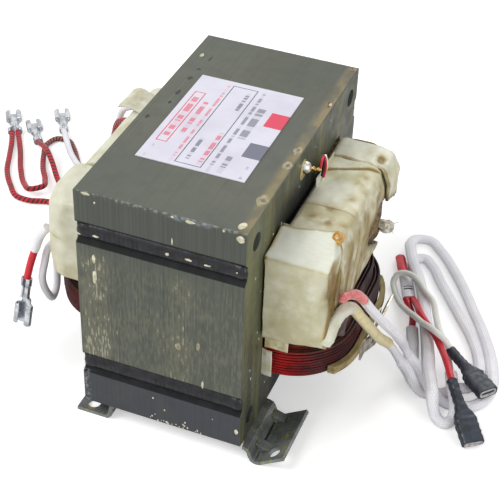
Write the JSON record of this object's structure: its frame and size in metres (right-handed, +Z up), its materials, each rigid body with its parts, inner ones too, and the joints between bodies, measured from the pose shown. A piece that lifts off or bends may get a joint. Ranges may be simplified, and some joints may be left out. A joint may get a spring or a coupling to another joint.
{
  "type": "high voltage transformer",
  "caption": "Transformer with a welded laminated core, a bare wire primary, a tape-wrapped high voltage secondary, flat terminals, sleeved flying leads and folded foot straps.",
  "frame": {"origin": "centre of the footprint of the part without its leads, on the surface that it stands on", "axes": "+X through the stack of core plates, towards the flat terminals; +Y from the front end of the core to the rear; +Z up"},
  "size_m": [0.2868, 0.1932, 0.1078],
  "materials": {
    "core_plates": "varnished dark olive sheet steel",
    "weld": "dark weld bead",
    "enamelled_wire": "red enamelled wire",
    "insulating_paper": "cream insulating paper",
    "tape": "varnished cream fibre tape",
    "resin": "amber varnish",
    "tinned": "tinned metal",
    "board": "tan pressed board",
    "strap_steel": "blue-grey sheet steel",
    "label_paper": "blank white label",
    "braided_sleeve": "white braided sleeve",
    "red_insulation": "red wire cover",
    "white_insulation": "white wire cover",
    "pink_sleeve": "pink sleeve",
    "shrink": "black shrunk sleeving",
    "red_cloth": "red cloth cover with a black thread"
  },
  "bodies": {
    "root": {"e_core": "core_plates", "i_core": "core_plates", "seam_welds": "weld", "joint_welds": "weld", "shunt_front": "core_plates", "shunt_rear": "core_plates", "primary_winding": "enamelled_wire", "slot_papers": "insulating_paper", "fold_papers": "insulating_paper", "secondary_winding": "resin", "wrap_right_body": "tape", "wrap_right_front": "tape", "wrap_right_rear": "tape", "wrap_left_front": "tape", "wrap_left_rear": "tape", "tape_flap": "tape", "filament_winding": "red_insulation", "winding_liner": "insulating_paper", "ground_dome": "tinned", "ground_wire": "tinned", "terminal_board": "board", "tab_front": "tinned", "tab_rear": "tinned", "front_strap": "strap_steel", "rear_strap": "strap_steel", "label_sheet": "label_paper", "resin_blob": "resin", "tape_knot": "tape", "hv_tube": "tape", "hv_stub": "pink_sleeve", "sleeve_a": "braided_sleeve", "sleeve_b": "braided_sleeve", "red_wire_a": "red_insulation", "red_wire_b": "red_insulation", "marker_tag": "white_insulation", "splice_cap": "red_insulation", "white_wire": "white_insulation", "shroud_red": "shrink", "shroud_white": "shrink", "lead_1": "red_cloth", "lead_2": "red_cloth", "lead_3": "red_cloth", "lead_4": "braided_sleeve", "spade_1": "tinned", "spade_2": "tinned", "spade_3": "tinned", "lead_5": "red_insulation", "lead_5_sleeve": "braided_sleeve", "spade_5": "tinned", "white_loop": "braided_sleeve"}
  },
  "joints": []
}
